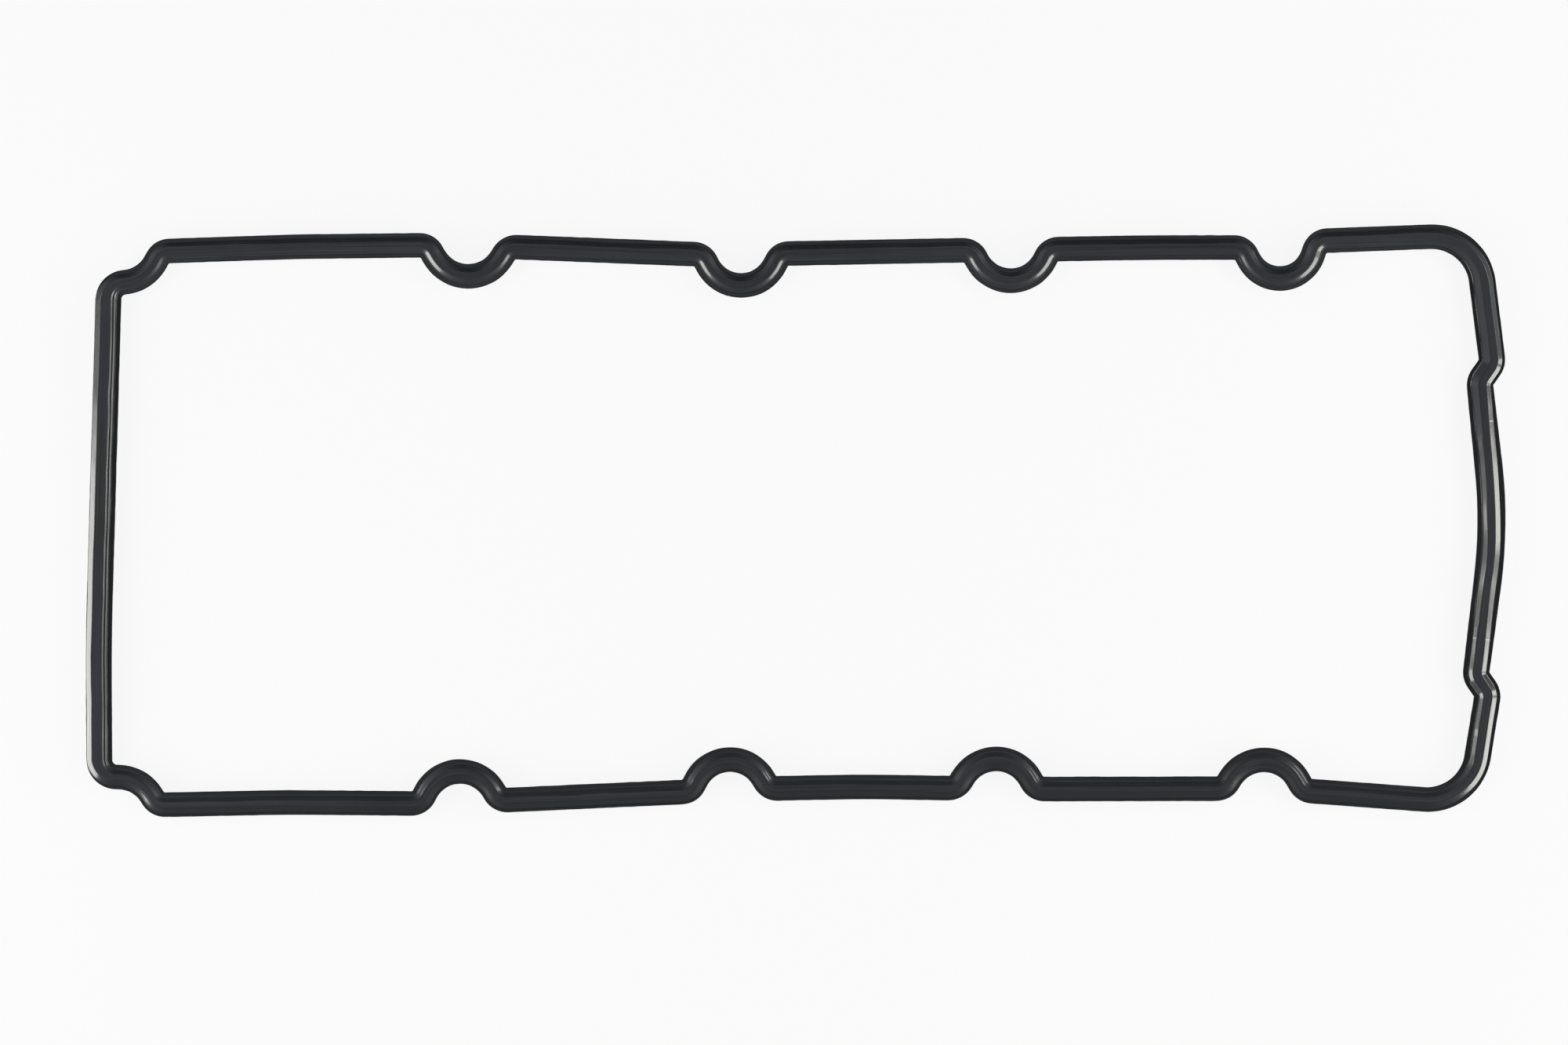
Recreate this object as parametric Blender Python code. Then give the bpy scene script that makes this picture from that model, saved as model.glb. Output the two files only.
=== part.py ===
"""Valve cover gasket: one moulded rubber ring for a four-cylinder head, lying on its flat face.

Metres, +Z up. +X runs along the row of cylinders, and the bowed end of the ring is at +X.
The origin is the middle of the ring's outline, on the plane that the ring rests on.
The middle of the strip runs counter-clockwise, like a belt round pegs: straight between two pegs
and an arc round each. A peg inside the ring has a plus radius, one outside it a minus radius.
The ring is soft and lies a little uneven, so each notch and run has its own small offsets.
"""

import math
from collections import namedtuple

import bmesh
import bpy

# The strip's section: a raised plateau between two flanks, with a lower lip on each side
HEIGHT = 0.0050
LIP_HEIGHT = 0.0040
BASE_CHAMFER = 0.0004
LIP_CHAMFER = 0.0003

# Widths across the strip, from the outside of the ring to its inside
Bands = namedtuple("Bands", "outer_lip outer_flank plateau inner_flank inner_lip")
RUN_BANDS = Bands(0.0014, 0.0014, 0.0020, 0.0015, 0.0016)
SIDE_BANDS = Bands(0.0005, 0.0015, 0.0038, 0.0007, 0.0018)
END_BANDS = Bands(0.0008, 0.0016, 0.0024, 0.0022, 0.0015)
BAR_BANDS = Bands(0.0016, 0.0019, 0.0022, 0.0016, 0.0017)

# The notches in both long runs, which pass inside the cover's bolt bosses
NOTCH_COUNT = 4
NOTCH_PITCH = 0.0860
ROW_SPACING = 0.1780
BOSS_RADIUS = 0.0086
SHOULDER_INSIDE_RADIUS = 0.0006
SHOULDER_GAP = 0.00005

# How each notch lies, from -X to +X: its shift along the row and out from it, how far its boss
# centre is set in from the outer edge of the run on its -X side and on its +X side, and how much
# the notch is squeezed, which takes that much from its radius
Lie = namedtuple("Lie", "along out set_in_before set_in_after squeeze")
TOP_LIES = (
    Lie(0.0000, 0.0016, 0.0013, 0.0007, 0.0),
    Lie(0.0010, -0.0018, 0.0019, 0.0021, 0.0005),
    Lie(0.0010, -0.0002, 0.0015, 0.0019, 0.0004),
    Lie(0.0008, -0.0005, 0.0027, 0.0049, 0.0014),
)
BOTTOM_LIES = (
    Lie(-0.0026, 0.0032, 0.0018, 0.0007, 0.0002),
    Lie(-0.0025, -0.0007, 0.0021, 0.0009, 0.0003),
    Lie(-0.0036, -0.0007, 0.0008, 0.0011, 0.0001),
    Lie(-0.0043, -0.0003, 0.0006, 0.0014, 0.0),
)

# How far each run bows out between its two shoulders, from -X to +X
TOP_BOWS = (0.0004, 0.0, 0.0, 0.0002, 0.0)
BOTTOM_BOWS = (-0.0005, 0.0, -0.0004, 0.0, 0.0)
RUN_BOW_RADIUS = 0.6000

# The -X side: a boss recess in each corner. Each gives its centre's distance from the first notch
# and out from the row, its set-in from the outer edges of the run and of the side, and its squeeze
Recess = namedtuple("Recess", "reach out set_in_run set_in_side squeeze")
TOP_RECESS = Recess(0.1106, -0.0005, 0.0016, 0.0083, 0.0002)
BOTTOM_RECESS = Recess(0.1115, 0.0049, 0.0005, 0.0103, 0.0003)
SIDE_SHOULDER_INSIDE_RADIUS = 0.0014
SIDE_BOW = 0.0009
SIDE_BOW_FROM_RECESS = 0.0446
SIDE_BOW_RADIUS = 0.8000

# The +X end: two round corners and a bowed bar that is set in between two kinks. Places are the
# distance beyond the last notch and the height above the ring's middle line
Place = namedtuple("Place", "beyond up")
END_CORNER_RADIUS = 0.0162
TOP_END_CORNER = Place(0.0493, 0.0745)
BOTTOM_END_CORNER = Place(0.0479, -0.0726)
TOP_KINK_INNER = Place(0.0640, 0.0515)
TOP_KINK_OUTER = Place(0.0691, 0.0433)
BOTTOM_KINK_OUTER = Place(0.0679, -0.0482)
BOTTOM_KINK_INNER = Place(0.0625, -0.0560)
KINK_INSIDE_RADIUS = 0.0002
END_BOW_APEX = Place(0.0683, 0.0004)
END_BOW_RADIUS = 0.1570

# Arcs are divided so finely that no chord strays further than this from its arc
CHORD_GAP = 0.00005

RUBBER_COLOUR = (0.012, 0.013, 0.015, 1.0)
RUBBER_ROUGHNESS = 0.45

Peg = namedtuple("Peg", "x y radius bands_in bands_out")
Station = namedtuple("Station", "x y heading bands")


def strip_width(bands):
    return sum(bands)


def peg(x, y, radius, bands_in=RUN_BANDS, bands_out=None):
    return Peg(x, y, radius, bands_in, bands_out or bands_in)


def mixed(first, second, share):
    return Bands(*(a + (b - a) * share for a, b in zip(first, second)))


def boss_peg(boss, squeeze):
    return peg(boss[0], boss[1], squeeze - BOSS_RADIUS - strip_width(RUN_BANDS) / 2)


def shoulder(boss, outward, away, set_in, inside_radius=SHOULDER_INSIDE_RADIUS, bands=RUN_BANDS):
    """The peg that leads between a run and the arc round a boss."""
    radius = inside_radius + strip_width(bands) / 2
    spacing = radius - boss.radius + SHOULDER_GAP
    drop = radius + strip_width(bands) / 2 - set_in
    along = math.sqrt(spacing**2 - drop**2)
    x = boss.x - outward[0] * drop + away[0] * along
    y = boss.y - outward[1] * drop + away[1] * along
    return peg(x, y, radius, bands)


def first_notch_x():
    return -NOTCH_PITCH * (NOTCH_COUNT - 1) / 2


def notches(lies, side):
    """Three pegs for each notch, from -X to +X. The side is 1 for the top row, -1 for the bottom."""
    rows = []
    for index in range(NOTCH_COUNT):
        lie = lies[index % len(lies)]
        x = first_notch_x() + NOTCH_PITCH * index + lie.along
        boss = boss_peg((x, side * (ROW_SPACING / 2 + lie.out)), lie.squeeze)
        before = shoulder(boss, (0, side), (-1, 0), lie.set_in_before)
        after = shoulder(boss, (0, side), (1, 0), lie.set_in_after)
        rows.append([before, boss, after])
    return rows


def corner_recess(recess, side):
    """The pegs of a -X corner, from its long run round to the -X side.

    The strip's bands change round the peg that leads to the side. The belt comes to the side at the
    top corner, and leaves it at the bottom one.
    """
    y = side * (ROW_SPACING / 2 + recess.out)
    boss = boss_peg((first_notch_x() - recess.reach, y), recess.squeeze)
    run = shoulder(boss, (0, side), (1, 0), recess.set_in_run)
    flank = shoulder(
        boss, (-1, 0), (0, -side), recess.set_in_side, SIDE_SHOULDER_INSIDE_RADIUS, SIDE_BANDS
    )
    if side > 0:
        return [run, boss, flank._replace(bands_in=RUN_BANDS)]
    return [run, boss, flank._replace(bands_out=RUN_BANDS)]


def end_pegs():
    """The pegs of the +X end, from its bottom corner up to its top one."""
    last_notch_x = -first_notch_x()
    kink_radius = KINK_INSIDE_RADIUS + strip_width(END_BANDS) / 2

    def end_peg(place, radius, bands_in=END_BANDS, bands_out=END_BANDS):
        return peg(last_notch_x + place.beyond, place.up, radius, bands_in, bands_out)

    bow_centre = Place(END_BOW_APEX.beyond - END_BOW_RADIUS, END_BOW_APEX.up)
    return [
        end_peg(BOTTOM_END_CORNER, END_CORNER_RADIUS, RUN_BANDS, END_BANDS),
        end_peg(BOTTOM_KINK_INNER, kink_radius),
        end_peg(BOTTOM_KINK_OUTER, -kink_radius),
        end_peg(bow_centre, END_BOW_RADIUS, BAR_BANDS, BAR_BANDS),
        end_peg(TOP_KINK_OUTER, -kink_radius),
        end_peg(TOP_KINK_INNER, kink_radius),
        end_peg(TOP_END_CORNER, END_CORNER_RADIUS, END_BANDS, RUN_BANDS),
    ]


def heading_between(start, end):
    """The direction of the straight stretch from one peg to the next."""
    distance = math.hypot(end.x - start.x, end.y - start.y)
    lean = math.asin((end.radius - start.radius) / distance)
    return math.atan2(end.y - start.y, end.x - start.x) - lean


def on_peg(one, heading):
    """The point of a peg's arc where the belt runs in the heading."""
    return (
        one.x + one.radius * math.sin(heading),
        one.y - one.radius * math.cos(heading),
    )


def bow(start, end, out, radius, from_end=None):
    """A wide peg between two others, whose arc stands out from their straight stretch.

    The arc is at the middle of the stretch, or a given distance before its end.
    """
    heading = heading_between(start, end)
    x0, y0 = on_peg(start, heading)
    x1, y1 = on_peg(end, heading)
    back = from_end or math.hypot(x1 - x0, y1 - y0) / 2
    turn = math.copysign(radius, out)
    x = x1 - back * math.cos(heading) + (out - turn) * math.sin(heading)
    y = y1 - back * math.sin(heading) - (out - turn) * math.cos(heading)
    return peg(x, y, turn, start.bands_out)


def ring_pegs():
    """Every peg of the ring, counter-clockwise from the bottom corner at -X."""
    bottom = [corner_recess(BOTTOM_RECESS, -1)[::-1]] + notches(BOTTOM_LIES, -1)
    top = [corner_recess(TOP_RECESS, 1)[::-1]] + notches(TOP_LIES, 1)
    stretches = bottom + [end_pegs()] + [row[::-1] for row in reversed(top)]
    bows = [BOTTOM_BOWS[gap % len(BOTTOM_BOWS)] for gap in range(len(bottom))]
    bows += [TOP_BOWS[gap % len(TOP_BOWS)] for gap in reversed(range(len(top)))]
    pegs = list(stretches[0])
    for stretch, out in zip(stretches[1:], bows):
        if out:
            pegs.append(bow(pegs[-1], stretch[0], out, RUN_BOW_RADIUS))
        pegs += stretch
    pegs.append(bow(pegs[-1], pegs[0], SIDE_BOW, SIDE_BOW_RADIUS, SIDE_BOW_FROM_RECESS))
    return pegs


def ring_stations(pegs):
    """The places along the ring where its section stands, with the strip's bands at each."""
    headings = [
        heading_between(one, after) for one, after in zip(pegs, pegs[1:] + pegs[:1])
    ]
    stations = []
    for index, one in enumerate(pegs):
        start = headings[index - 1]
        turn = (headings[index] - start + math.pi) % (2 * math.pi) - math.pi
        outermost = abs(one.radius) + strip_width(one.bands_in) / 2
        finest = 2 * math.acos(1 - CHORD_GAP / outermost)
        steps = max(1, math.ceil(abs(turn) / finest))
        for step in range(steps + 1):
            share = step / steps
            heading = start + turn * share
            bands = mixed(one.bands_in, one.bands_out, share)
            stations.append(Station(*on_peg(one, heading), heading, bands))
    return stations


def section_outline(bands):
    """The section's corners: how far each is towards the inside of the ring, and its height."""
    half = strip_width(bands) / 2
    outer_root = bands.outer_lip - half
    inner_root = half - bands.inner_lip
    return [
        (BASE_CHAMFER - half, 0),
        (half - BASE_CHAMFER, 0),
        (half, BASE_CHAMFER),
        (half, LIP_HEIGHT - LIP_CHAMFER),
        (half - LIP_CHAMFER, LIP_HEIGHT),
        (inner_root, LIP_HEIGHT),
        (inner_root - bands.inner_flank, HEIGHT),
        (outer_root + bands.outer_flank, HEIGHT),
        (outer_root, LIP_HEIGHT),
        (LIP_CHAMFER - half, LIP_HEIGHT),
        (-half, LIP_HEIGHT - LIP_CHAMFER),
        (-half, BASE_CHAMFER),
    ]


def ring_mesh(stations):
    """A loft through the section at each station, closed on itself and centred on the origin."""
    sections = [
        [
            (one.x - math.sin(one.heading) * across, one.y + math.cos(one.heading) * across, up)
            for across, up in section_outline(one.bands)
        ]
        for one in stations
    ]
    points = [point for section in sections for point in section]
    middle_x = (min(point[0] for point in points) + max(point[0] for point in points)) / 2
    middle_y = (min(point[1] for point in points) + max(point[1] for point in points)) / 2
    shape = bmesh.new()
    loops = [
        [shape.verts.new((x - middle_x, y - middle_y, z)) for x, y, z in section]
        for section in sections
    ]
    for loop, following in zip(loops, loops[1:] + loops[:1]):
        for corner in range(len(loop)):
            after = (corner + 1) % len(loop)
            shape.faces.new((loop[corner], loop[after], following[after], following[corner]))
    bmesh.ops.recalc_face_normals(shape, faces=shape.faces)
    mesh = bpy.data.meshes.new("valve_cover_gasket")
    shape.to_mesh(mesh)
    shape.free()
    mesh.shade_smooth()
    mesh.set_sharp_from_angle(angle=math.radians(30))
    return mesh


def rubber():
    material = bpy.data.materials.new("black_rubber")
    material.use_nodes = True
    shader = material.node_tree.nodes["Principled BSDF"]
    shader.inputs["Base Color"].default_value = RUBBER_COLOUR
    shader.inputs["Roughness"].default_value = RUBBER_ROUGHNESS
    shader.inputs["Metallic"].default_value = 0.0
    return material


def main():
    for old in list(bpy.data.objects):
        bpy.data.objects.remove(old, do_unlink=True)
    collection = bpy.data.collections.new("valve_cover_gasket")
    bpy.context.scene.collection.children.link(collection)
    mesh = ring_mesh(ring_stations(ring_pegs()))
    mesh.materials.append(rubber())
    collection.objects.link(bpy.data.objects.new("gasket", mesh))


main()
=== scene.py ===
"""Looks of the valve cover gasket: a finer mesh of the strip, its rubber, floor, lights and camera.

Metres, +Z up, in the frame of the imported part. +X runs along the row of cylinders, towards the
bowed end. The middle of the strip runs counter-clockwise, like a belt round pegs: straight between
two pegs and an arc round each. A peg inside the ring has a plus radius, one outside it a minus one.
"""

import math
from collections import namedtuple

import bpy
import numpy as np
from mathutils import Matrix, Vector, noise

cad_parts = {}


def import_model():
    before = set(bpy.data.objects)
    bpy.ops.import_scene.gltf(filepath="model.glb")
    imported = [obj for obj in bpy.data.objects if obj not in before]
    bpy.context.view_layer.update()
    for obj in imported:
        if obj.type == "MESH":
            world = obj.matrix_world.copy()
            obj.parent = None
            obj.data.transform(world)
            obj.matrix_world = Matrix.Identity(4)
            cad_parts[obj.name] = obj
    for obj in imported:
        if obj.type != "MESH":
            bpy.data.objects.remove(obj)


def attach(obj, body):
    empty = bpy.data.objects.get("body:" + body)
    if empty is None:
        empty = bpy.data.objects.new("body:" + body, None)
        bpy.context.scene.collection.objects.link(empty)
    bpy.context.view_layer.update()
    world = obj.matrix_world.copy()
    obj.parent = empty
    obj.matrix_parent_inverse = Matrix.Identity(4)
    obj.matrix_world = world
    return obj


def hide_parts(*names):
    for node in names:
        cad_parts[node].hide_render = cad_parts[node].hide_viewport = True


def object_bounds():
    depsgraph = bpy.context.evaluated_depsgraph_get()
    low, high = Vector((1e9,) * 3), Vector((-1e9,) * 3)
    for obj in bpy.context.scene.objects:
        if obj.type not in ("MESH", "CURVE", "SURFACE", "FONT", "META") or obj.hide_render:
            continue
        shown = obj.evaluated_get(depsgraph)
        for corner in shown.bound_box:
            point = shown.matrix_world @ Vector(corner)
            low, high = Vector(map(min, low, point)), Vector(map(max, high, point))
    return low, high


# The photograph's frame, and the pixel on which the middle of the ring's outline falls
PHOTO_WIDTH_PX = 2000
PHOTO_HEIGHT_PX = 1333
RING_MIDDLE_PX = (1014.9, 664.2)
METRES_PER_PX = 0.00025
CAMERA_HEIGHT = 2.4
CAMERA_REACH = 20
SENSOR_WIDTH_MM = 36.0

# The strip's section, as the part has it
HEIGHT = 0.0050
LIP_HEIGHT = 0.0040

# Widths across the strip, from the outside of the ring to its inside, and what shapes the surface
# between them: how hollow the outer flank is, how much of each flank is rounded at its two ends,
# how far the inner flank breaks into two steps, how dull and pale the lips' middles are, partly
# wear and partly painted shading of a domed lip, and how high the ribs stand
Bands = namedtuple(
    "Bands",
    "outer_lip outer_flank plateau inner_flank inner_lip"
    " hollow outer_softness inner_softness stepped dull_lips ribbing",
)
WIDTHS = slice(0, 5)
RUN_BANDS = Bands(0.0014, 0.0014, 0.0017, 0.0018, 0.0016, 1.1, 0.06, 0.25, 0.0, 0.90, 1.0)
LOW_RUN_BANDS = Bands(0.0007, 0.0025, 0.0014, 0.0018, 0.0015, 1.0, 0.20, 0.30, 0.0, 0.60, 0.6)
SIDE_BANDS = Bands(0.00005, 0.00175, 0.0033, 0.0015, 0.0017, 1.0, 0.10, 0.28, 1.0, 0.00, 0.5)
END_BANDS = Bands(0.0009, 0.0014, 0.0024, 0.0023, 0.0015, 1.0, 0.10, 0.10, 0.0, 0.00, 0.3)
LOW_END_BANDS = Bands(0.0011, 0.0016, 0.0026, 0.0014, 0.0018, 1.0, 0.10, 0.10, 0.0, 0.05, 0.3)
BAR_BANDS = Bands(0.0016, 0.0017, 0.0023, 0.0016, 0.0018, 1.0, 0.06, 0.10, 0.0, 0.15, 0.3)

# The notches in both long runs
NOTCH_COUNT = 4
NOTCH_PITCH = 0.0860
ROW_SPACING = 0.1780
BOSS_RADIUS = 0.0086
SHOULDER_INSIDE_RADIUS = 0.0006
SHOULDER_GAP = 0.00005

# How each notch lies, from -X to +X: its shift along the row and out from it, how far its boss
# centre is set in from the outer edge of the run on its -X side and on its +X side, and how much
# the notch is squeezed, which takes that much from its radius
Lie = namedtuple("Lie", "along out set_in_before set_in_after squeeze")
TOP_LIES = (
    Lie(0.0000, 0.0016, 0.0013, 0.0007, 0.0),
    Lie(0.0010, -0.0018, 0.0019, 0.0021, 0.0005),
    Lie(0.0010, -0.0002, 0.0015, 0.0019, 0.0004),
    Lie(0.0008, -0.0005, 0.0027, 0.0049, 0.0014),
)
BOTTOM_LIES = (
    Lie(-0.0026, 0.0032, 0.0018, 0.0007, 0.0002),
    Lie(-0.0025, -0.0007, 0.0021, 0.0009, 0.0003),
    Lie(-0.0036, -0.0007, 0.0008, 0.0011, 0.0001),
    Lie(-0.0043, -0.0003, 0.0006, 0.0014, 0.0),
)
TOP_BOWS = (0.0004, 0.0, 0.0, 0.0002, 0.0)
BOTTOM_BOWS = (-0.0005, 0.0, -0.0004, 0.0, 0.0)
RUN_BOW_RADIUS = 0.6000

# The -X side, with a boss recess in each corner
Recess = namedtuple("Recess", "reach out set_in_run set_in_side squeeze")
TOP_RECESS = Recess(0.1106, -0.0005, 0.0016, 0.0083, 0.0002)
BOTTOM_RECESS = Recess(0.1115, 0.0049, 0.0005, 0.0103, 0.0003)
SIDE_SHOULDER_INSIDE_RADIUS = 0.0014
SIDE_BOW = 0.0009
SIDE_BOW_FROM_RECESS = 0.0446
SIDE_BOW_RADIUS = 0.8000

# The +X end, with two round corners and a bowed bar between two kinks
Place = namedtuple("Place", "beyond up")
END_CORNER_RADIUS = 0.0162
TOP_END_CORNER = Place(0.0493, 0.0745)
BOTTOM_END_CORNER = Place(0.0479, -0.0726)
TOP_KINK_INNER = Place(0.0640, 0.0515)
TOP_KINK_OUTER = Place(0.0691, 0.0433)
BOTTOM_KINK_OUTER = Place(0.0679, -0.0482)
BOTTOM_KINK_INNER = Place(0.0625, -0.0560)
KINK_INSIDE_RADIUS = 0.0002
END_BOW_APEX = Place(0.0683, 0.0004)
END_BOW_RADIUS = 0.1570

# How finely the mesh follows the belt, in its arcs and along its straight stretches
CHORD_GAP = 0.00002
STRAIGHT_STEP = 0.0009

# The section's fine form: rounded corners, and side walls that lean in towards the base
BASE_ROUND = 0.00025
EDGE_ROUND = 0.00008
ROUND_STEPS = 3
WALL_LEAN = 0.00025

# Where points stand across the lips, the flanks and the plateau, from 0 at one edge to 1
LIP_SHARES = np.array([0.25, 0.65])
FLANK_SHARES = np.array(
    [0, 0.03, 0.07, 0.15, 0.24, 0.33, 0.38, 0.44, 0.56, 0.62, 0.67, 0.76, 0.85, 0.93, 0.97]
)
PLATEAU_SHARES = np.linspace(0, 1, 19)

# How much of a stepped flank's width its terrace takes
TERRACE_SHARE = 0.24

# Fine ribs along the raised face, and one on the outer flank, by their share of its width. The
# raised face lies lower than the part's by the room that the ribs may take
Rib = namedtuple("Rib", "share height")
RIB_HALF_SHARE = 0.09
PLATEAU_RIBS = (
    Rib(0.03, 0.00005),
    Rib(0.33, 0.00005),
    Rib(0.62, 0.00001),
    Rib(0.80, 0.00002),
    Rib(0.95, 0.00003),
)
FLANK_RIB = Rib(0.60, 0.00002)
RIB_UNEVENNESS = 0.8
RIB_ROOM = 0.00005
PLATEAU_RISE = HEIGHT - RIB_ROOM - LIP_HEIGHT

# A fine groove along the root of the inner flank, and where points stand across it
GROOVE_DEPTH = 0.00007
GROOVE_HALF_WIDTH = 0.00015
GROOVE_SHARES = np.array([0.5, 1.0, 1.5, 2.0])

# How the soft strip strays from its drawn form, and over what length: uneven edges, flanks that
# drift to either side, and flanks that lean a little more or less
NICK_DEPTH = 0.00007
NICK_REACH = 0.0028
DRIFT = 0.00026
DRIFT_REACH = 0.0180
LEAN = 0.00016
LEAN_REACH = 0.0090

# Stretches where the inner flank stands steeper, by distance along the strip from its first corner
Steep = namedtuple("Steep", "start end narrower")
STEEP_STRETCHES = (
    Steep(0.4900, 0.5270, 0.00018),
    Steep(0.5560, 0.5650, 0.00018),
    Steep(0.5820, 0.5870, 0.00020),
)
STEEP_EASE = 0.0010

# Fine flash lines that the mould left across the strip, by distance along it
FLASH_PLACES = (0.5220, 0.5915)
FLASH_HALF_WIDTH = 0.00012
FLASH_HEIGHT = 0.00002

# How dull the rubber is, from 0 where it keeps the mould's gloss to 1 where it is worn; duller is
# paler. A flank wears near the raised face. Along the inner flank's root the dullness goes past 1,
# which paints a pale highlight line there
WALL_DULLNESS = 0.1
PLATEAU_DULLNESS = 1.0
OUTER_FLANK_DULLNESS = 0.25
INNER_FLANK_DULLNESS = 0.60
# Painted highlight: the dullness added at the inner flank's root
ROOT_PAINTED_HIGHLIGHT = 1.2
WORN_SHARE = 0.15
# The share of the flank over which that painted highlight fades out
ROOT_HIGHLIGHT_SHARE = 0.10

# The rubber's colours, and the spans of its gloss from the mould's to the worn. The worn colour
# also makes the lips' middles paler, partly painted shading, and is carried past its full share to
# paint the highlight along the inner flank's root
FRESH_RUBBER = (0.0036, 0.0040, 0.0048, 1)
WORN_AND_PAINTED_LIGHT_RUBBER = (0.0245, 0.0265, 0.0325, 1)
DUST = (0.42, 0.40, 0.36, 1)
ROUGHNESS_SPAN = (0.16, 0.42)
COAT_SPAN = (1.0, 0.55)
COAT_ROUGHNESS = 0.12
RUBBER_IOR = 1.55
COAT_IOR = 1.6

# Streaks along the strip, blotches and fine grain, with their scale by the metre, and the spans
# by which they change the wear, the coat, the roughness and the relief
STREAK_SCALE = (14, 3600, 1)
STREAK_CONTRAST = (0.32, 0.68)
BLOTCH_SCALE = 70.0
GRAIN_SCALE = 2600.0
STREAK_WEAR = (0.40, 1.50)
BLOTCH_WEAR = (0.6, 1.4)
STREAK_COAT = (0.62, 1.25)
GRAIN_ROUGHNESS = (-0.02, 0.04)
GRAIN_RELIEF = (0.85, 1.15)
RELIEF_DEPTH = 0.00002
RELIEF_STRENGTH = 0.12

# Dust specks: cells by the metre, a speck's reach in its cell, and the share of cells without one
SPECK_SCALE = 190.0
SPECK_REACH = 0.022
BARE_SHARE = 0.90

# The white table under the ring
FLOOR_HALF_SIDE = 5.0
FLOOR_DROP = 0.0001
FLOOR_PAINT = (0.90, 0.89, 0.88, 1)
FLOOR_GLOW = (0.990, 0.990, 0.993, 1)
FLOOR_GLOW_SHARE = 0.90

# The room's light from -Y over the top to +Y, by place on that way from 0 to 1, and what is added
# towards both ends of the ring
Level = namedtuple("Level", "position colour")
FRONT_LEVEL = Level(0.04, (0.25, 0.255, 0.27, 1))
OVERHEAD_LEVEL = Level(0.45, (0.120, 0.124, 0.134, 1))
BACK_LEVEL = Level(0.85, (0.100, 0.102, 0.110, 1))
END_GLOW = (0.58, 0.60, 0.60, 1)

# Upright softboxes at both ends of the ring, by the span that each covers in y and in z
Softbox = namedtuple("Softbox", "name x y_low y_high z_low z_high")
SOFTBOXES = (
    Softbox("right_softbox", 0.726, -0.680, -0.092, 0.09, 0.40),
    Softbox("right_strip_light", 0.726, -0.040, 0.070, 0.09, 0.40),
    Softbox("right_high_softbox", 0.726, 0.150, 0.420, 0.36, 0.70),
    Softbox("left_softbox", -0.726, -0.570, 0.045, 0.03, 0.41),
    Softbox("left_high_softbox", -0.726, 0.120, 0.260, 0.45, 0.85),
)
SOFTBOX_RADIANCE = 6.2
SOFTBOX_COLOUR = (1.0, 0.995, 0.94)

Peg = namedtuple("Peg", "x y radius bands_in bands_out")
Station = namedtuple("Station", "x y heading bands")

# Where the bands meet, as distances in from the plain outer edge
Edges = namedtuple("Edges", "outer outer_root outer_crown inner_crown inner_root inner")

# Points across part of the section: how far in they are, how high and how dull, where the dullness also
# carries painted highlight and shade
Points = namedtuple("Points", "inward height dullness")


def across(start, end, share):
    """The place at a share of the way from a start to an end."""
    return start + (end - start) * share


def turn_between(start, end):
    """The turn from one heading to another, the shorter way round."""
    return (end - start + math.pi) % (2 * math.pi) - math.pi


def strip_width(bands):
    return sum(bands[WIDTHS])


def peg(x, y, radius, bands_in=RUN_BANDS, bands_out=None):
    return Peg(x, y, radius, bands_in, bands_out or bands_in)


def mixed(first, second, share):
    """Bands at a share of the way from one set to another."""
    return Bands(*(across(a, b, share) for a, b in zip(first, second)))


def boss_peg(boss, squeeze):
    """The peg outside the ring that leads the belt round a boss."""
    return peg(boss[0], boss[1], squeeze - BOSS_RADIUS - strip_width(RUN_BANDS) / 2)


def shoulder(boss, outward, away, set_in, inside_radius=SHOULDER_INSIDE_RADIUS, bands=RUN_BANDS):
    """The peg that leads between a run and the arc round a boss."""
    radius = inside_radius + strip_width(bands) / 2
    spacing = radius - boss.radius + SHOULDER_GAP
    drop = radius + strip_width(bands) / 2 - set_in
    along = math.sqrt(spacing**2 - drop**2)
    x = boss.x - outward[0] * drop + away[0] * along
    y = boss.y - outward[1] * drop + away[1] * along
    return peg(x, y, radius, bands)


def first_notch_x():
    return -NOTCH_PITCH * (NOTCH_COUNT - 1) / 2


def run_bands(side):
    """The strip's bands along the top run, whose side is 1, or the bottom run, whose side is -1."""
    return RUN_BANDS if side > 0 else LOW_RUN_BANDS


def in_run(one, side):
    """A peg of a long run, with that run's bands."""
    return one._replace(bands_in=run_bands(side), bands_out=run_bands(side))


def notches(lies, side):
    """Three pegs for each notch, from -X to +X. The side is 1 for the top row, -1 for the bottom."""
    rows = []
    for index in range(NOTCH_COUNT):
        lie = lies[index]
        x = first_notch_x() + NOTCH_PITCH * index + lie.along
        boss = boss_peg((x, side * (ROW_SPACING / 2 + lie.out)), lie.squeeze)
        before = shoulder(boss, (0, side), (-1, 0), lie.set_in_before)
        after = shoulder(boss, (0, side), (1, 0), lie.set_in_after)
        rows.append([in_run(one, side) for one in (before, boss, after)])
    return rows


def corner_recess(recess, side):
    """The pegs of a -X corner, from its long run round to the -X side.

    The strip's bands change round the peg that leads to the side. The belt comes to the side at the
    top corner, and leaves it at the bottom one.
    """
    y = side * (ROW_SPACING / 2 + recess.out)
    boss = boss_peg((first_notch_x() - recess.reach, y), recess.squeeze)
    run = shoulder(boss, (0, side), (1, 0), recess.set_in_run)
    flank = shoulder(
        boss, (-1, 0), (0, -side), recess.set_in_side, SIDE_SHOULDER_INSIDE_RADIUS, SIDE_BANDS
    )
    if side > 0:
        flank = flank._replace(bands_in=RUN_BANDS)
    else:
        flank = flank._replace(bands_out=LOW_RUN_BANDS)
    return [in_run(run, side), in_run(boss, side), flank]


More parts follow.
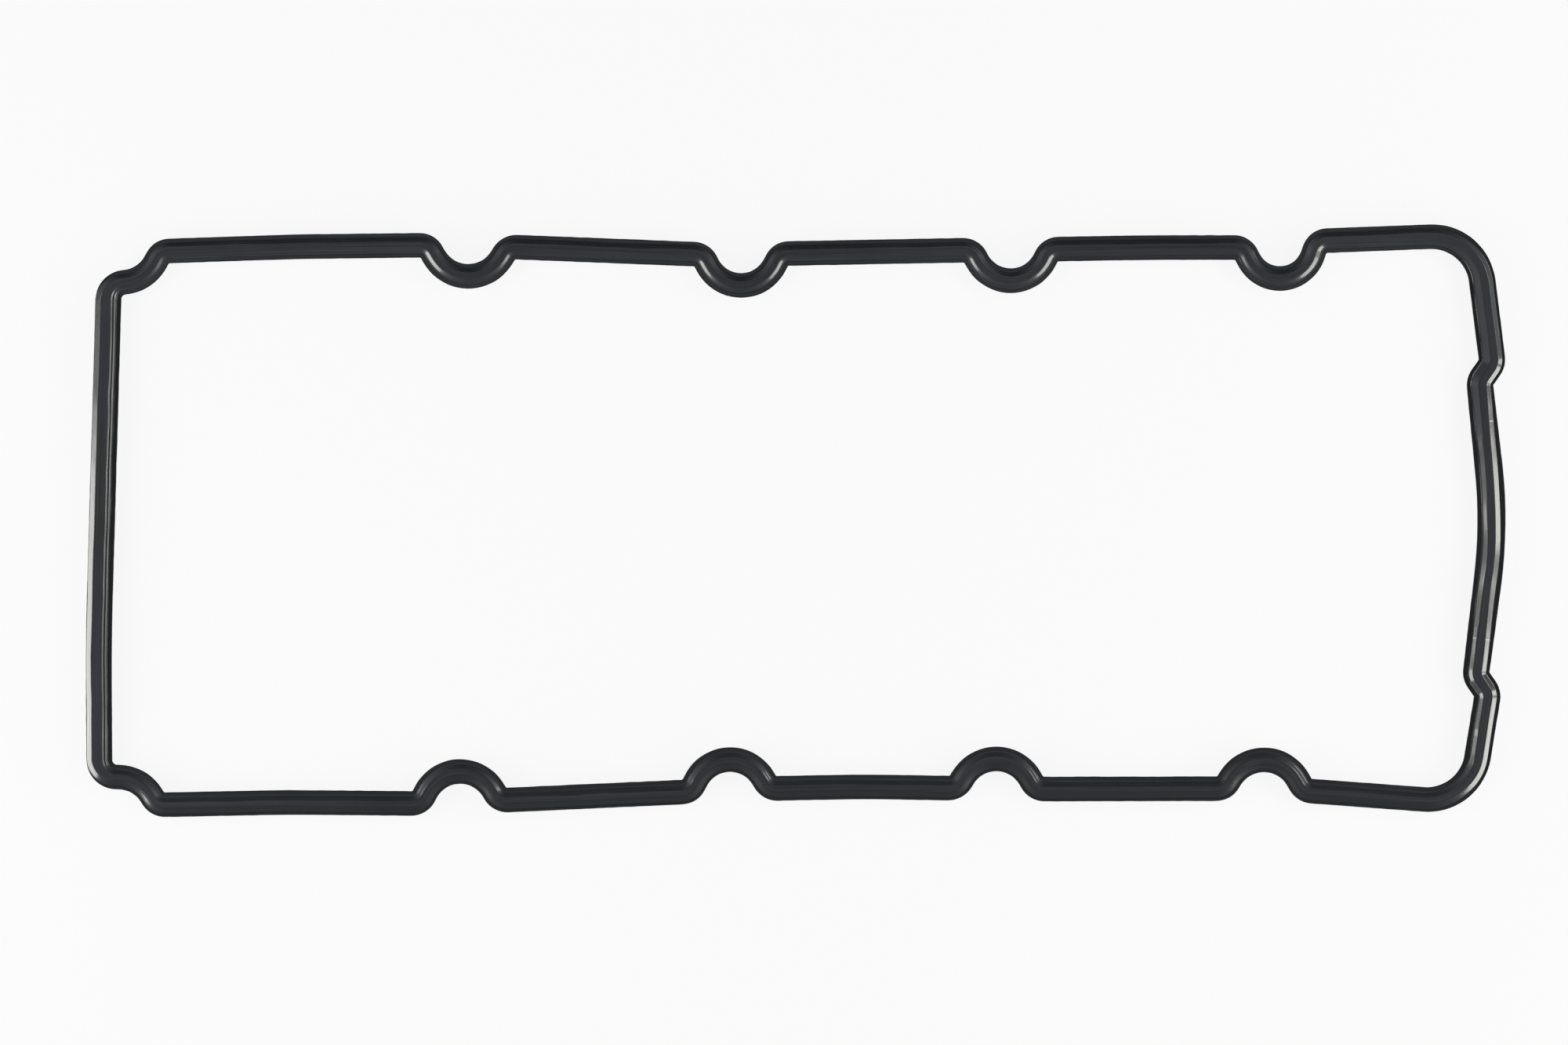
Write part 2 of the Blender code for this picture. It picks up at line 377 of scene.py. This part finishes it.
def end_pegs():
    """The pegs of the +X end, from its bottom corner up to its top one."""
    last_notch_x = -first_notch_x()
    kink_radius = KINK_INSIDE_RADIUS + strip_width(END_BANDS) / 2

    def end_peg(place, radius, bands_in=END_BANDS, bands_out=END_BANDS):
        return peg(last_notch_x + place.beyond, place.up, radius, bands_in, bands_out)

    bow_centre = Place(END_BOW_APEX.beyond - END_BOW_RADIUS, END_BOW_APEX.up)
    return [
        end_peg(BOTTOM_END_CORNER, END_CORNER_RADIUS, LOW_RUN_BANDS, LOW_END_BANDS),
        end_peg(BOTTOM_KINK_INNER, kink_radius, LOW_END_BANDS, LOW_END_BANDS),
        end_peg(BOTTOM_KINK_OUTER, -kink_radius, LOW_END_BANDS, LOW_END_BANDS),
        end_peg(bow_centre, END_BOW_RADIUS, BAR_BANDS, BAR_BANDS),
        end_peg(TOP_KINK_OUTER, -kink_radius),
        end_peg(TOP_KINK_INNER, kink_radius),
        end_peg(TOP_END_CORNER, END_CORNER_RADIUS, END_BANDS, RUN_BANDS),
    ]


def heading_between(start, end):
    """The direction of the straight stretch from one peg to the next."""
    distance = math.hypot(end.x - start.x, end.y - start.y)
    lean = math.asin((end.radius - start.radius) / distance)
    return math.atan2(end.y - start.y, end.x - start.x) - lean


def on_peg(one, heading):
    """The point of a peg's arc where the belt runs in the heading."""
    return (
        one.x + one.radius * math.sin(heading),
        one.y - one.radius * math.cos(heading),
    )


def bow(start, end, out, radius, from_end=None):
    """A wide peg between two others, whose arc stands out from their straight stretch.

    The arc is at the middle of the stretch, or a given distance before its end.
    """
    heading = heading_between(start, end)
    x0, y0 = on_peg(start, heading)
    x1, y1 = on_peg(end, heading)
    back = from_end or math.hypot(x1 - x0, y1 - y0) / 2
    turn = math.copysign(radius, out)
    x = x1 - back * math.cos(heading) + (out - turn) * math.sin(heading)
    y = y1 - back * math.sin(heading) - (out - turn) * math.cos(heading)
    return peg(x, y, turn, start.bands_out)


def ring_pegs():
    """Every peg of the ring, counter-clockwise from the bottom corner at -X."""
    bottom = [corner_recess(BOTTOM_RECESS, -1)[::-1]] + notches(BOTTOM_LIES, -1)
    top = [corner_recess(TOP_RECESS, 1)[::-1]] + notches(TOP_LIES, 1)
    stretches = bottom + [end_pegs()] + [row[::-1] for row in reversed(top)]
    bows = list(BOTTOM_BOWS) + list(reversed(TOP_BOWS))
    pegs = list(stretches[0])
    for stretch, out in zip(stretches[1:], bows):
        if out:
            pegs.append(bow(pegs[-1], stretch[0], out, RUN_BOW_RADIUS))
        pegs += stretch
    pegs.append(bow(pegs[-1], pegs[0], SIDE_BOW, SIDE_BOW_RADIUS, SIDE_BOW_FROM_RECESS))
    return pegs


def arc_stations(one, start, turn):
    """Stations round one peg, from the heading at its start through its turn."""
    outermost = abs(one.radius) + strip_width(one.bands_in) / 2
    finest = 2 * math.acos(1 - CHORD_GAP / outermost)
    steps = max(1, math.ceil(abs(turn) / finest))
    stations = []
    for step in range(steps + 1):
        share = step / steps
        heading = start + turn * share
        bands = mixed(one.bands_in, one.bands_out, share)
        stations.append(Station(*on_peg(one, heading), heading, bands))
    return stations


def between(first, last, share):
    """The station at a share of the way between two others that are close or in line."""
    x = across(first.x, last.x, share)
    y = across(first.y, last.y, share)
    heading = first.heading + turn_between(first.heading, last.heading) * share
    return Station(x, y, heading, mixed(first.bands, last.bands, share))


def straight_stations(first, last):
    """Stations between two others on a straight stretch, without those two."""
    steps = math.ceil(math.hypot(last.x - first.x, last.y - first.y) / STRAIGHT_STEP)
    return [between(first, last, step / steps) for step in range(1, steps)]


def belt_stations(pegs):
    """The places along the ring where its section stands, with the strip's bands at each."""
    headings = [
        heading_between(one, after) for one, after in zip(pegs, pegs[1:] + pegs[:1])
    ]
    arcs = []
    for index, one in enumerate(pegs):
        start = headings[index - 1]
        arcs.append(arc_stations(one, start, turn_between(start, headings[index])))
    stations = []
    for arc, following in zip(arcs, arcs[1:] + arcs[:1]):
        stations += arc + straight_stations(arc[-1], following[0])
    return stations


def distances(stations):
    """How far along the strip each station is, and the strip's whole length at the end."""
    places = np.array([(one.x, one.y) for one in stations + stations[:1]])
    steps = np.linalg.norm(np.diff(places, axis=0), axis=1)
    return np.concatenate([[0], np.cumsum(steps)])


def with_flash(stations):
    """The stations, with three more at each of the mould's flash lines."""
    along = distances(stations)
    extra = []
    for place in FLASH_PLACES:
        for shift in (-FLASH_HALF_WIDTH, 0, FLASH_HALF_WIDTH):
            spot = place + shift
            index = int(np.searchsorted(along, spot)) - 1
            share = (spot - along[index]) / (along[index + 1] - along[index])
            extra.append((spot, between(stations[index], stations[index + 1], share)))
    every = list(zip(along, stations)) + extra
    return [one for _, one in sorted(every, key=lambda pair: pair[0])]


def wander(stations, reach, seed):
    """Smooth noise from about -0.5 to 0.5 for each station, which strays over the given length."""
    values = [noise.noise(Vector((one.x / reach, one.y / reach, seed))) for one in stations]
    return np.array(values)[:, None]


def ramp(share, softness):
    """A rise from 0 to 1, straight in its middle and rounded over a soft share at each end."""
    slope = 1 / (1 - softness)
    start = slope * share**2 / (2 * softness)
    end = 1 - slope * (1 - share) ** 2 / (2 * softness)
    middle = slope * (share - softness / 2)
    return np.where(share < softness, start, np.where(share > 1 - softness, end, middle))


def stepped_ramp(share, softness):
    """A rise from 0 to 1 in two steps, with a terrace between them."""
    tread = (1 - TERRACE_SHARE) / 2
    lower = ramp(np.clip(share / tread, 0, 1), softness)
    upper = ramp(np.clip((share - tread - TERRACE_SHARE) / tread, 0, 1), softness)
    return (lower + upper) / 2


def bump(share, rib):
    """A rib's height across the strip."""
    reach = np.clip(np.abs(share - rib.share) / RIB_HALF_SHARE, 0, 1)
    return rib.height * np.cos(reach * math.pi / 2) ** 2


def wall_points():
    """One side wall from its foot to its lip, as distances in from the edge and heights."""
    angles = np.linspace(0, math.pi / 2, ROUND_STEPS + 1)
    sines, cosines = 1 - np.sin(angles), 1 - np.cos(angles)
    inset = np.concatenate([WALL_LEAN + BASE_ROUND * sines, EDGE_ROUND * cosines])
    height = np.concatenate([BASE_ROUND * cosines, LIP_HEIGHT - EDGE_ROUND * sines])
    return inset, height


def flank_dullness_and_highlight(least, root_highlight=0):
    """How dull a flank is from its root to its crown, with a painted highlight line at its root where
    asked.
    """
    paleness = np.clip((FLANK_SHARES - 1) / WORN_SHARE + 1, 0, 1)
    root_line = np.clip(1 - FLANK_SHARES / ROOT_HIGHLIGHT_SHARE, 0, 1)
    return across(least, 1, paleness) + root_highlight * root_line


def steepness(along):
    """How much narrower the inner flank is at each distance along the strip."""
    narrower = np.zeros_like(along)
    for stretch in STEEP_STRETCHES:
        inside = np.minimum(along - stretch.start, stretch.end - along) / STEEP_EASE
        narrower += stretch.narrower * np.clip(inside, 0, 1)
    return narrower


def flash_height(along):
    """How high the mould's flash lines stand at each distance along the strip."""
    return FLASH_HEIGHT * sum(np.abs(along - place) < FLASH_HALF_WIDTH / 2 for place in FLASH_PLACES)


def band_edges(bands, stations, along):
    """Where the bands meet at each station, with what the soft strip strays."""
    width = sum(bands[WIDTHS])
    drift = DRIFT * wander(stations, DRIFT_REACH, seed=3)
    outer_root = bands.outer_lip + drift
    outer_flank = bands.outer_flank + LEAN * wander(stations, LEAN_REACH, seed=4)
    inner_root = width - bands.inner_lip + drift
    inner_flank = bands.inner_flank + LEAN * wander(stations, LEAN_REACH, seed=5) - steepness(along)
    return Edges(
        outer=NICK_DEPTH * wander(stations, NICK_REACH, seed=1),
        outer_root=outer_root,
        outer_crown=outer_root + outer_flank,
        inner_crown=inner_root - inner_flank,
        inner_root=inner_root,
        inner=width - NICK_DEPTH * wander(stations, NICK_REACH, seed=2),
    )


def section_arrays(stations, along):
    """Each point's distance in from the outer edge, its height and its dullness with its painted
    highlight and shade, by station.
    """
    bands = Bands(*np.array([one.bands for one in stations]).T[:, :, None])
    edges = band_edges(bands, stations, along)
    flash = flash_height(along)
    ribbing = bands.ribbing * (1 + RIB_UNEVENNESS * wander(stations, LEAN_REACH, seed=6))
    groove = GROOVE_DEPTH * (1 + wander(stations, LEAN_REACH, seed=7))

    outer_flank = PLATEAU_RISE * ramp(FLANK_SHARES, bands.outer_softness) ** bands.hollow
    outer_flank = outer_flank + ribbing * bump(FLANK_SHARES, FLANK_RIB) + flash
    plain = ramp(FLANK_SHARES, bands.inner_softness)
    stepped = stepped_ramp(FLANK_SHARES, bands.inner_softness)
    inner_flank = PLATEAU_RISE * across(plain, stepped, bands.stepped) + flash
    ribs = ribbing * sum(bump(PLATEAU_SHARES, rib) for rib in PLATEAU_RIBS)
    plateau = PLATEAU_RISE + np.minimum(ribs + flash, RIB_ROOM)

    inset, wall_height = wall_points()
    parts = [
        Points(edges.outer + inset, wall_height, WALL_DULLNESS),
        # The outer lip's middle takes the lip dullness: partly wear, partly painted shading of a domed
        # lip
        Points(
            across(edges.outer + EDGE_ROUND, edges.outer_root, LIP_SHARES),
            LIP_HEIGHT,
            bands.dull_lips,
        ),
        Points(
            across(edges.outer_root, edges.outer_crown, FLANK_SHARES),
            LIP_HEIGHT + outer_flank,
            flank_dullness_and_highlight(OUTER_FLANK_DULLNESS),
        ),
        Points(
            across(edges.outer_crown, edges.inner_crown, PLATEAU_SHARES),
            LIP_HEIGHT + plateau,
            PLATEAU_DULLNESS,
        ),
        # The inner flank, with a painted highlight line along its root
        Points(
            across(edges.inner_root, edges.inner_crown, FLANK_SHARES)[:, ::-1],
            LIP_HEIGHT + inner_flank[:, ::-1],
            flank_dullness_and_highlight(INNER_FLANK_DULLNESS, ROOT_PAINTED_HIGHLIGHT)[::-1],
        ),
        # The groove and the inner lip take the same lip dullness, partly painted shading of a domed lip
        Points(
            edges.inner_root + GROOVE_HALF_WIDTH * GROOVE_SHARES,
            LIP_HEIGHT - groove * np.sin(GROOVE_SHARES * math.pi / 2) ** 2,
            bands.dull_lips,
        ),
        Points(
            across(edges.inner - EDGE_ROUND, edges.inner_root, LIP_SHARES)[:, ::-1],
            LIP_HEIGHT,
            bands.dull_lips,
        ),
        Points(edges.inner - inset[::-1], wall_height[::-1], WALL_DULLNESS),
    ]
    shapes = [part.inward.shape for part in parts]
    return [
        np.concatenate([np.broadcast_to(*pair) for pair in zip(kind, shapes)], axis=1)
        for kind in zip(*parts)
    ]


def ring_places(stations, inward, up, box):
    """Vertex places, one row of the section for each station, centred on the plain outline.

    Places that an uneven edge would bring out of the part's box are brought back to it.
    """
    rows = np.array([(one.x, one.y, one.heading, strip_width(one.bands) / 2) for one in stations])
    x, y, heading, half = rows.T[:, :, None]
    sine, cosine = np.sin(heading), np.cos(heading)
    outline_x = np.concatenate([x - sine * half, x + sine * half])
    outline_y = np.concatenate([y + cosine * half, y - cosine * half])
    aside = inward - half
    places = np.stack([
        x - sine * aside - (outline_x.min() + outline_x.max()) / 2,
        y + cosine * aside - (outline_y.min() + outline_y.max()) / 2,
        up,
    ], axis=2)
    return np.clip(places, *np.array(box))


def ring_object(box):
    """The strip as one closed mesh, with each point's dullness, which also carries painted highlight
    and shade, and each corner's place on the strip.
    """
    stations = with_flash(belt_stations(ring_pegs()))
    along = distances(stations)
    inward, up, dullness = section_arrays(stations, along[:-1, None])
    places = ring_places(stations, inward, up, box)
    rows, columns = inward.shape
    index = np.arange(rows * columns).reshape(rows, columns)
    following = np.roll(index, -1, axis=0)
    faces = np.stack(
        [index, following, np.roll(following, -1, axis=1), np.roll(index, -1, axis=1)], axis=2
    )
    mesh = bpy.data.meshes.new("gasket_strip")
    mesh.from_pydata(places.reshape(-1, 3).tolist(), [], faces.reshape(-1, 4).tolist())
    mesh.shade_smooth()

    dull_and_lit = mesh.attributes.new("dullness", "FLOAT", "POINT")
    dull_and_lit.data.foreach_set("value", dullness.astype(np.float32).ravel())
    start = np.broadcast_to(along[:-1, None], inward.shape)
    end = np.broadcast_to(along[1:, None], inward.shape)
    beside = np.roll(inward, -1, axis=1)
    on_strip = np.zeros((rows, columns, 4, 3), np.float32)
    on_strip[:, :, :, 0] = np.stack([start, end, end, start], axis=2)
    on_strip[:, :, :, 1] = np.stack([inward, inward, beside, beside], axis=2)
    place = mesh.attributes.new("place", "FLOAT_VECTOR", "CORNER")
    place.data.foreach_set("vector", on_strip.ravel())
    strip = bpy.data.objects.new("gasket_strip", mesh)
    bpy.context.scene.collection.objects.link(strip)
    return strip


def new_material(name):
    material = bpy.data.materials.new(name)
    material.use_nodes = True
    material.node_tree.nodes.clear()
    return material, material.node_tree


def add(tree, kind, inputs=None, **settings):
    """A new node with the given settings, and with its inputs linked to a socket or set to a value."""
    node = tree.nodes.new("ShaderNode" + kind)
    for name, value in settings.items():
        setattr(node, name, value)
    for name, value in (inputs or {}).items():
        if isinstance(value, bpy.types.NodeSocket):
            tree.links.new(value, node.inputs[name])
        else:
            node.inputs[name].default_value = value
    return node


def scaled(tree, value, span):
    """A value from 0 to 1 brought to another span."""
    inputs = {"Value": value, "To Min": span[0], "To Max": span[1]}
    return add(tree, "MapRange", inputs).outputs["Result"]


def stretched(tree, value, span):
    """A value in a span brought to the span from 0 to 1."""
    inputs = {"Value": value, "From Min": span[0], "From Max": span[1]}
    return add(tree, "MapRange", inputs).outputs["Result"]


def computed(tree, operation, first, second, clamped=False):
    """What an operation makes of two values, clamped to the span from 0 to 1 where asked."""
    node = add(tree, "Math", {0: first, 1: second}, operation=operation, use_clamp=clamped)
    return node.outputs[0]


def product(tree, first, second):
    return computed(tree, "MULTIPLY", first, second)


def blend(tree, share, first, second, **settings):
    """A colour between two others."""
    inputs = {"Factor": share, "A": first, "B": second}
    return add(tree, "Mix", inputs, data_type="RGBA", **settings).outputs["Result"]


def noise_value(tree, place, scale, **inputs):
    """Cloudy noise from 0 to 1."""
    return add(tree, "TexNoise", {"Vector": place, "Scale": scale, **inputs}).outputs["Fac"]


def dust_specks(tree, place):
    """Where the few pale specks of dust are, from 0 to 1."""
    cells = add(tree, "TexVoronoi", {"Vector": place, "Scale": SPECK_SCALE}, feature="F1").outputs
    chance = add(tree, "SeparateColor", {"Color": cells["Color"]}).outputs["Red"]
    near = computed(tree, "LESS_THAN", cells["Distance"], SPECK_REACH)
    chosen = computed(tree, "GREATER_THAN", chance, BARE_SHARE)
    return product(tree, near, chosen)


def rubber():
    """Black rubber: glossy where the mould left it, and dull, paler and finely streaked where it is
    worn. The dullness also paints a pale highlight line along the inner flank's root and shading on the
    lips, as paler colour.
    """
    material, tree = new_material("black_rubber")
    place = add(tree, "Attribute", attribute_name="place").outputs["Vector"]
    dull_and_lit = add(tree, "Attribute", attribute_name="dullness").outputs["Fac"]
    in_space = add(tree, "TexCoord").outputs["Object"]

    along_strip = add(tree, "Mapping", {"Vector": place, "Scale": STREAK_SCALE}).outputs["Vector"]
    faint_streaks = noise_value(tree, along_strip, 1.0, Detail=3.0, Roughness=0.6)
    streaks = stretched(tree, faint_streaks, STREAK_CONTRAST)
    grain = noise_value(tree, in_space, GRAIN_SCALE, Detail=2.0)
    blotches = noise_value(tree, in_space, BLOTCH_SCALE, Detail=3.0)

    mottle = product(tree, scaled(tree, streaks, STREAK_WEAR), scaled(tree, blotches, BLOTCH_WEAR))
    # Share towards the paler worn colour: wear, plus the painted root highlight and lip shading; past 1
    # it goes beyond the worn colour
    paleness = product(tree, dull_and_lit, mottle)
    skin = blend(tree, paleness, FRESH_RUBBER, WORN_AND_PAINTED_LIGHT_RUBBER, clamp_factor=False)
    grainy = scaled(tree, grain, GRAIN_ROUGHNESS)
    relief = product(tree, streaks, scaled(tree, grain, GRAIN_RELIEF))
    uneven = add(
        tree, "Bump", {"Height": relief, "Strength": RELIEF_STRENGTH, "Distance": RELIEF_DEPTH}
    ).outputs["Normal"]
    shader = add(
        tree,
        "BsdfPrincipled",
        {
            "Base Color": blend(tree, dust_specks(tree, in_space), skin, DUST),
            "Roughness": computed(tree, "ADD", scaled(tree, dull_and_lit, ROUGHNESS_SPAN), grainy),
            "IOR": RUBBER_IOR,
            "Coat Weight": product(
                tree, scaled(tree, dull_and_lit, COAT_SPAN), scaled(tree, streaks, STREAK_COAT)
            ),
            "Coat Roughness": COAT_ROUGHNESS,
            "Coat IOR": COAT_IOR,
            "Normal": uneven,
            "Coat Normal": uneven,
        },
    )
    add(tree, "OutputMaterial", {"Surface": shader.outputs["BSDF"]})
    return material


def floor_material():
    """Near-white to the camera and in reflections, and still darkened a little by shadows."""
    material, tree = new_material("pale_table")
    path = add(tree, "LightPath").outputs
    seen = computed(tree, "ADD", path["Is Camera Ray"], path["Is Glossy Ray"])
    seen_through = computed(tree, "ADD", seen, path["Is Transmission Ray"])
    share = computed(tree, "MULTIPLY", seen_through, FLOOR_GLOW_SHARE, clamped=True)
    paint = add(tree, "BsdfDiffuse", {"Color": FLOOR_PAINT}).outputs["BSDF"]
    glow = add(tree, "Emission", {"Color": FLOOR_GLOW}).outputs["Emission"]
    mix = add(tree, "MixShader", {0: share, 1: paint, 2: glow})
    add(tree, "OutputMaterial", {"Surface": mix.outputs["Shader"]})
    return material


def add_floor():
    """The white table, a hair below the ring."""
    side = FLOOR_HALF_SIDE
    mesh = bpy.data.meshes.new("table_top")
    corners = [(-side, -side, 0), (side, -side, 0), (side, side, 0), (-side, side, 0)]
    mesh.from_pydata(corners, [], [(0, 1, 2, 3)])
    mesh.materials.append(floor_material())
    floor = bpy.data.objects.new("table_top", mesh)
    floor.location.z = -FLOOR_DROP
    bpy.context.scene.collection.objects.link(floor)


def add_softboxes():
    """Upright softboxes that face the ring from both ends.

    An area light's power is its radiance times pi, times its area.
    """
    for box in SOFTBOXES:
        light = bpy.data.lights.new(box.name, "AREA")
        light.shape = "RECTANGLE"
        light.size = box.y_high - box.y_low
        light.size_y = box.z_high - box.z_low
        light.energy = SOFTBOX_RADIANCE * math.pi * light.size * light.size_y
        light.color = SOFTBOX_COLOUR
        lamp = bpy.data.objects.new(box.name, light)
        lamp.location = (box.x, (box.y_low + box.y_high) / 2, (box.z_low + box.z_high) / 2)
        lamp.rotation_euler = (math.pi / 2, 0, math.copysign(math.pi / 2, box.x))
        lamp.visible_camera = False
        bpy.context.scene.collection.objects.link(lamp)


def add_room_light():
    """A dim room: grey overhead, darker towards +Y, and lighter low down at -Y and at both ends."""
    world = bpy.data.worlds.new("studio")
    world.use_nodes = True
    tree = world.node_tree
    direction = add(tree, "TexCoord").outputs["Generated"]
    parts = add(tree, "SeparateXYZ", {"Vector": direction}).outputs
    from_front = stretched(tree, parts["Y"], (-1.0, 1.0))
    levels = add(tree, "ValToRGB", {"Fac": from_front})
    levels.color_ramp.interpolation = "EASE"
    front, back = levels.color_ramp.elements
    front.position, front.color = FRONT_LEVEL
    back.position, back.color = BACK_LEVEL
    overhead = levels.color_ramp.elements.new(OVERHEAD_LEVEL.position)
    overhead.color = OVERHEAD_LEVEL.colour
    towards_ends = product(tree, parts["X"], parts["X"])
    room = blend(tree, towards_ends, levels.outputs["Color"], END_GLOW, blend_type="ADD")
    tree.links.new(room, tree.nodes["Background"].inputs["Color"])
    bpy.context.scene.world = world


def add_camera():
    """Straight above the ring, with +Y up in the picture and the photograph's framing."""
    x = (PHOTO_WIDTH_PX / 2 - RING_MIDDLE_PX[0]) * METRES_PER_PX
    y = (RING_MIDDLE_PX[1] - PHOTO_HEIGHT_PX / 2) * METRES_PER_PX
    data = bpy.data.cameras.new("camera")
    data.sensor_fit = "HORIZONTAL"
    data.sensor_width = SENSOR_WIDTH_MM
    data.lens = SENSOR_WIDTH_MM * CAMERA_HEIGHT / (PHOTO_WIDTH_PX * METRES_PER_PX)
    data.clip_end = CAMERA_REACH
    camera = bpy.data.objects.new("camera", data)
    camera.location = (x, y, LIP_HEIGHT + CAMERA_HEIGHT)
    bpy.context.scene.collection.objects.link(camera)
    bpy.context.scene.camera = camera


def main():
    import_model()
    cad_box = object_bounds()
    strip = ring_object(cad_box)
    strip.data.materials.append(rubber())
    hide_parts("gasket")
    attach(strip, "root")
    add_floor()
    add_softboxes()
    add_room_light()
    add_camera()
    bpy.context.scene.view_settings.view_transform = "Standard"


main()
